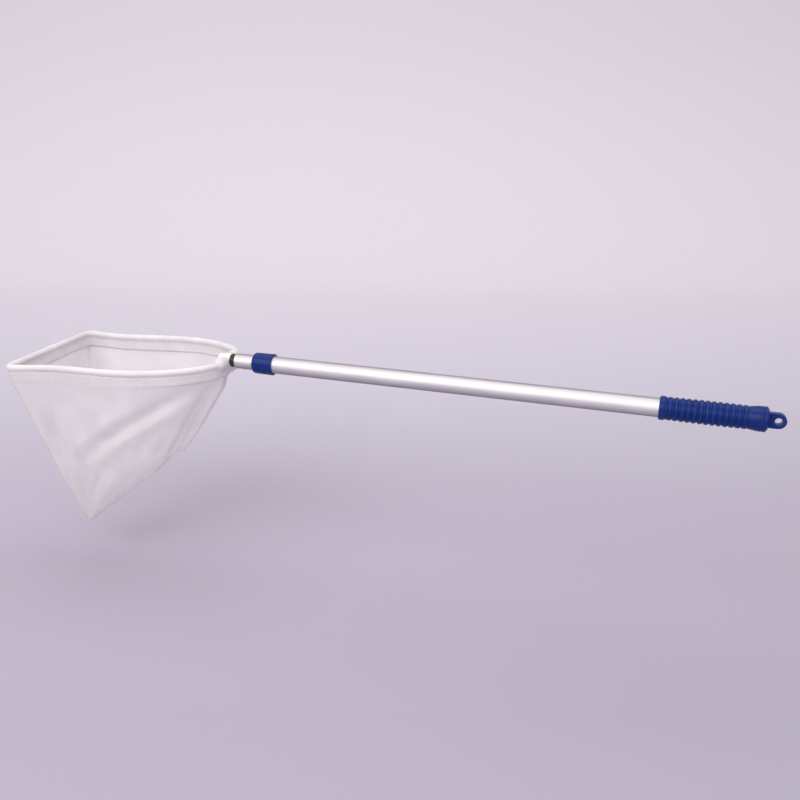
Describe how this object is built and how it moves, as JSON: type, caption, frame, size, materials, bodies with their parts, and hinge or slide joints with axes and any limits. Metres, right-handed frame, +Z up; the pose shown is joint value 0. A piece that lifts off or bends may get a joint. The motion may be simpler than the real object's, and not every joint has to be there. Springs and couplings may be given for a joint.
{
  "type": "deep-bag skimmer net",
  "caption": "Hand-held pool net with a flat-fronted hoop, canvas hem and deep pointed mesh bag, on a telescopic aluminium pole with a twist lock and screw-in head.",
  "frame": {"origin": "centre of the hang eye in the end cap, on the pole's axis", "axes": "+X along the pole towards the butt, hoop towards -X, +Z up out of the hoop's mouth, +Y along the hang eye"},
  "size_m": [1.0753, 0.2144, 0.3257],
  "materials": {
    "pole_aluminium": "satin drawn tube",
    "blue_plastic": "moulded, slightly worn gloss",
    "white_nylon": "moulded",
    "brass": "machined",
    "steel": "zinc plated",
    "rivet_aluminium": "plain",
    "dark_plastic": "knurled",
    "light_plastic": "moulded",
    "white_canvas": "plain weave",
    "white_mesh": "fine knitted mesh"
  },
  "bodies": {
    "pole": {"outer_tube": "pole_aluminium", "mouth_collar": "blue_plastic", "grip_sleeve": "blue_plastic", "end_cap": "blue_plastic", "cap_pins": "steel"},
    "expander": {"expander_sleeve": "white_nylon"},
    "cone": {"cone_nut": "brass"},
    "inner": {"inner_tube": "pole_aluminium", "rear_plug": "white_nylon", "plug_rivets": "rivet_aluminium", "lock_screw": "steel", "screw_end_nut": "steel", "tip_insert": "brass", "insert_rivets": "rivet_aluminium"},
    "spacer": {"stud_washer": "white_nylon"},
    "head": {"head_stud": "steel", "hoop_socket": "light_plastic", "stud_pin": "steel", "socket_set_screws": "steel", "hoop_rod": "steel", "hem_sleeve": "white_canvas", "mesh_bag": "white_mesh", "bag_seam_tape": "white_canvas"},
    "ring": {"lock_nut": "dark_plastic"}
  },
  "joints": [
    {"name": "telescope", "type": "slide", "parent": "pole", "child": "expander", "axis": [-1, 0, 0], "range_m": [0, 0.44]},
    {"name": "twist_lock", "type": "hinge", "parent": "expander", "child": "inner", "pos_m": [-0.1467, 0, 0], "axis": [1, 0, 0], "range_deg": [0, 360]},
    {"name": "cone_draw", "type": "slide", "parent": "expander", "child": "cone", "axis": [-1, 0, 0], "range_m": [0, 0.0026]},
    {"name": "head_draw", "type": "slide", "parent": "inner", "child": "spacer", "axis": [-1, 0, 0], "range_m": [0, 0.0025]},
    {"name": "head_unscrew", "type": "hinge", "parent": "spacer", "child": "head", "pos_m": [-0.7327, 0, 0], "axis": [-1, 0, 0], "range_deg": [0, 720]},
    {"name": "lock_nut_turn", "type": "hinge", "parent": "head", "child": "ring", "pos_m": [-0.7363, 0, 0], "axis": [1, 0, 0], "range_deg": [0, 360]}
  ],
  "couplings": [
    {"joint": "cone_draw", "follows": "twist_lock", "m_per_rad": 0.00039789},
    {"joint": "head_unscrew", "follows": "head_draw", "rad_per_m": 5026.5}
  ]
}
